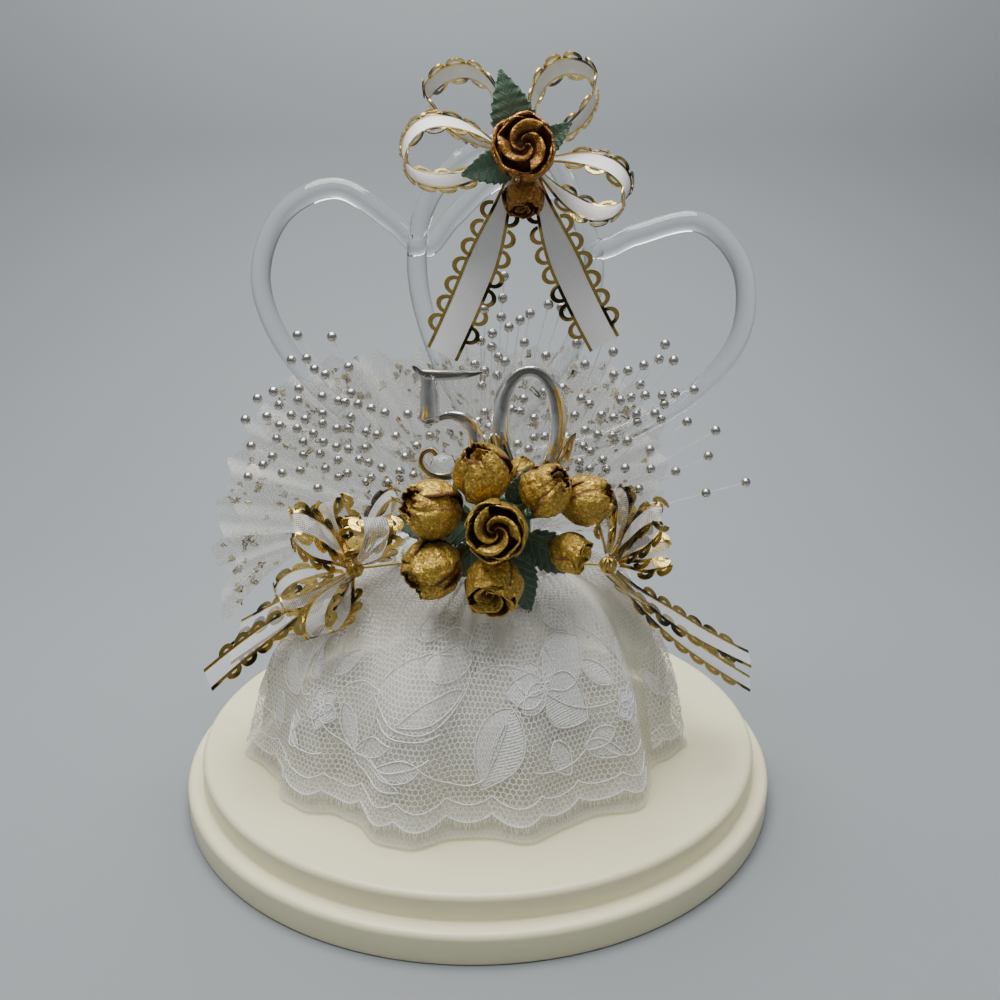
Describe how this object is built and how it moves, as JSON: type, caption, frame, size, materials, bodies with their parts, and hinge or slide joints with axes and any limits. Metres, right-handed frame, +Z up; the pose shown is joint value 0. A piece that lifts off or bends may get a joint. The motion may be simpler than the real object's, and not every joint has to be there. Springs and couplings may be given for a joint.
{
  "type": "wedding cake topper",
  "caption": "Cake topper on a stepped round base: linked clear hearts, lace skirt, tulle fan, gold rosebud bouquet, silvered numerals and beads, ribbon bows.",
  "frame": {"origin": "centre of the base's flat underside", "axes": "+Z up, +Y away from the viewer, +X to the viewer's right; the numerals face -Y"},
  "size_m": [0.152, 0.152, 0.1772],
  "materials": {
    "base_cream": "satin moulded",
    "core_foam": "matte foam",
    "clear_acrylic": "clear polished",
    "lace": "white lace",
    "tulle": "sheer net",
    "silvered": "mirror",
    "gold_petals": "glittered gold cloth",
    "leaf_cloth": "matte printed cloth",
    "ribbon": "sheer with foil edges",
    "tie_wire": "bright wire",
    "stem_tape": "crepe tape"
  },
  "bodies": {
    "root": {"display_base": "base_cream", "foam_core": "core_foam", "heart_left": "clear_acrylic", "heart_right": "clear_acrylic", "lace_skirt": "lace", "tulle_underskirt": "tulle", "tulle_fan": "tulle", "number_five": "silvered", "number_zero": "silvered", "bouquet_stem": "stem_tape", "rosebud_1": "gold_petals", "rosebud_2": "gold_petals", "rosebud_3": "gold_petals", "rosebud_4": "gold_petals", "rosebud_5": "gold_petals", "rosebud_6": "gold_petals", "rosebud_7": "gold_petals", "rosebud_8": "gold_petals", "rosebud_9": "gold_petals", "bouquet_leaf_1": "leaf_cloth", "bouquet_leaf_2": "leaf_cloth", "bouquet_leaf_3": "leaf_cloth", "bouquet_leaf_4": "leaf_cloth", "bouquet_leaf_5": "leaf_cloth", "bouquet_leaf_6": "leaf_cloth", "pearl_spray_left": "silvered", "pearl_spray_centre": "silvered", "pearl_spray_right": "silvered", "top_bow_tie": "tie_wire", "top_rose": "gold_petals", "top_bud": "gold_petals", "top_leaf_1": "leaf_cloth", "top_leaf_2": "leaf_cloth", "top_leaf_3": "leaf_cloth", "top_bow_loop_1": "ribbon", "top_bow_loop_2": "ribbon", "top_bow_loop_3": "ribbon", "top_bow_loop_4": "ribbon", "top_bow_tail_1": "ribbon", "top_bow_tail_2": "ribbon", "left_bow_tie": "tie_wire", "left_bow_loop_1": "ribbon", "left_bow_loop_2": "ribbon", "left_bow_loop_3": "ribbon", "left_bow_loop_4": "ribbon", "left_bow_loop_5": "ribbon", "left_bow_loop_6": "ribbon", "left_bow_tail_1": "ribbon", "left_bow_tail_2": "ribbon", "left_bow_tail_3": "ribbon", "right_bow_tie": "tie_wire", "right_bow_loop_1": "ribbon", "right_bow_loop_2": "ribbon", "right_bow_loop_3": "ribbon", "right_bow_loop_4": "ribbon", "right_bow_tail_1": "ribbon", "right_bow_tail_2": "ribbon", "right_bow_tail_3": "ribbon"}
  },
  "joints": []
}
